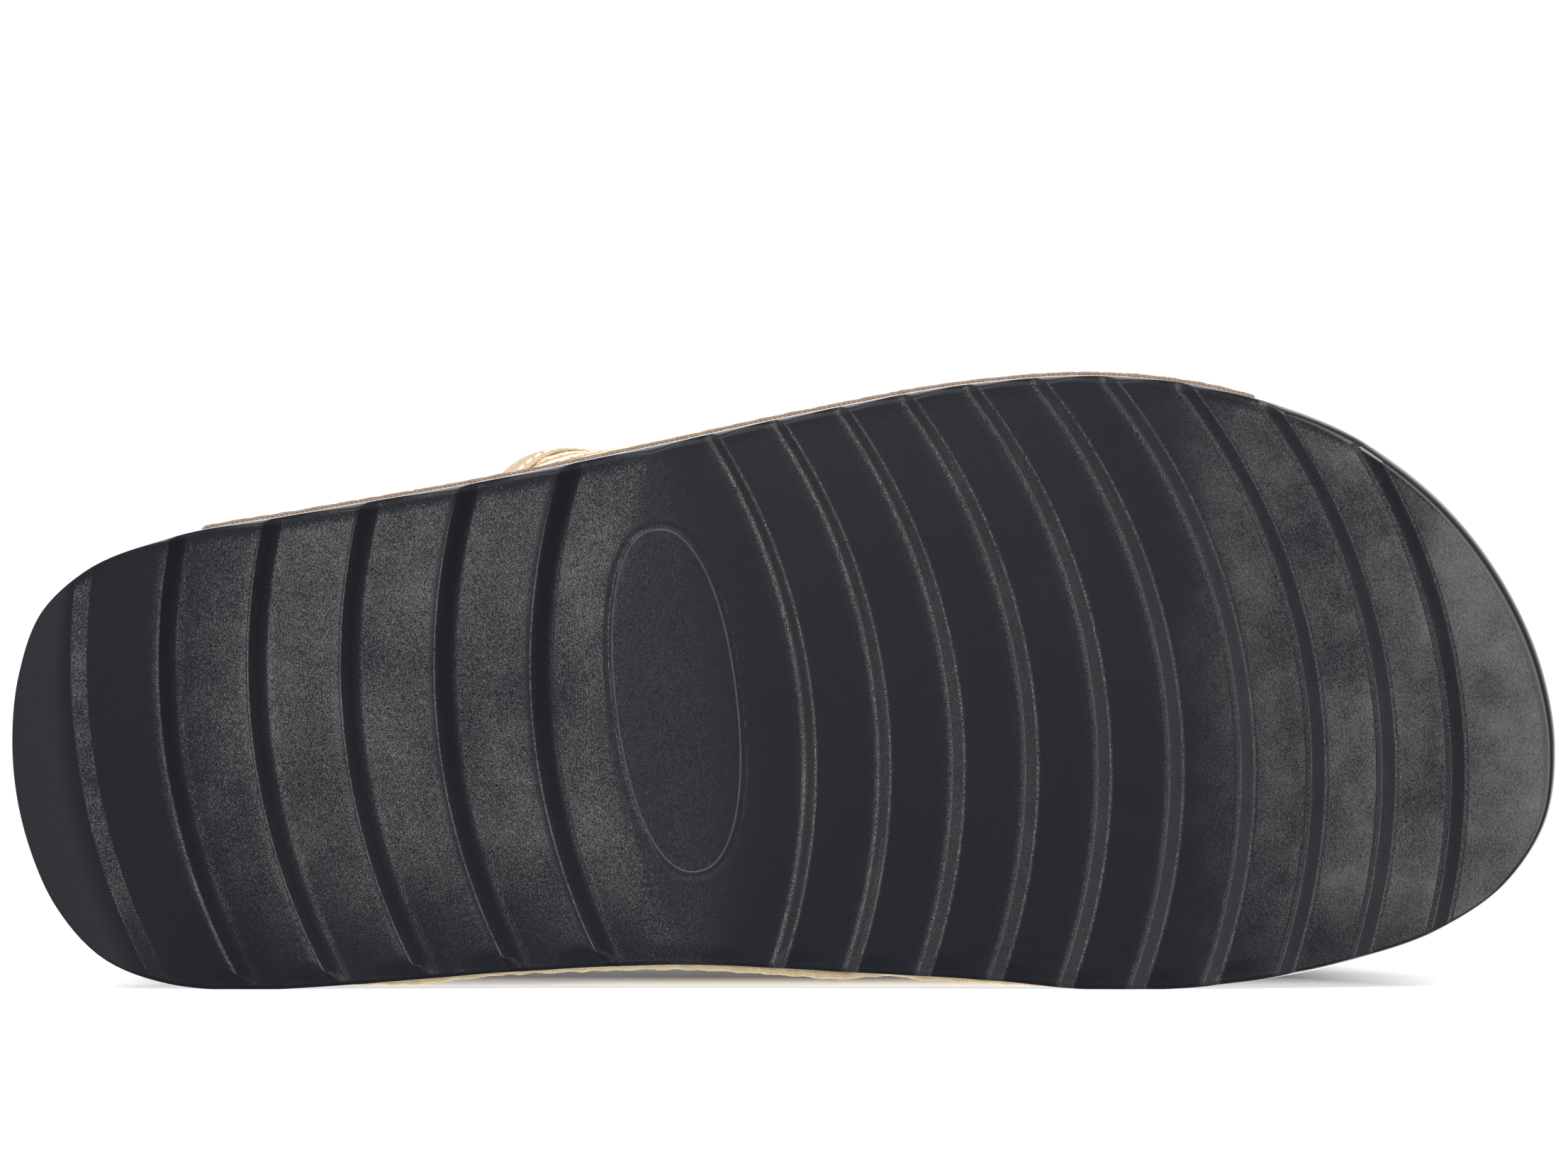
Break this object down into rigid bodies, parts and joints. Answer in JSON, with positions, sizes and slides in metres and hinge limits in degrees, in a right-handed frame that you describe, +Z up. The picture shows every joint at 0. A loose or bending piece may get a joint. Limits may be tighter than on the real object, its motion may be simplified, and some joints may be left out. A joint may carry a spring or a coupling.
{
  "type": "strap slipper",
  "caption": "Slide slipper lying on its side: thick foam sole with sawtooth ribs, a textile-wrapped edge and one broad woven strap over an open footbed.",
  "frame": {"origin": "middle of the slipper's box on the floor it lies on", "axes": "+X from heel to toe, +Y from the tread to the foot side, +Z up from the medial side on the floor to the lateral side"},
  "size_m": [0.275, 0.0868, 0.1104],
  "materials": {
    "outsole": "satin moulded foam rubber with a fine grain",
    "midsole": "brown woven textile wrapped round the edge",
    "insole": "plain brushed textile",
    "strap": "cream basket weave"
  },
  "bodies": {
    "root": {"outsole": "outsole", "midsole": "midsole", "insole": "insole", "strap": "strap"}
  },
  "joints": []
}
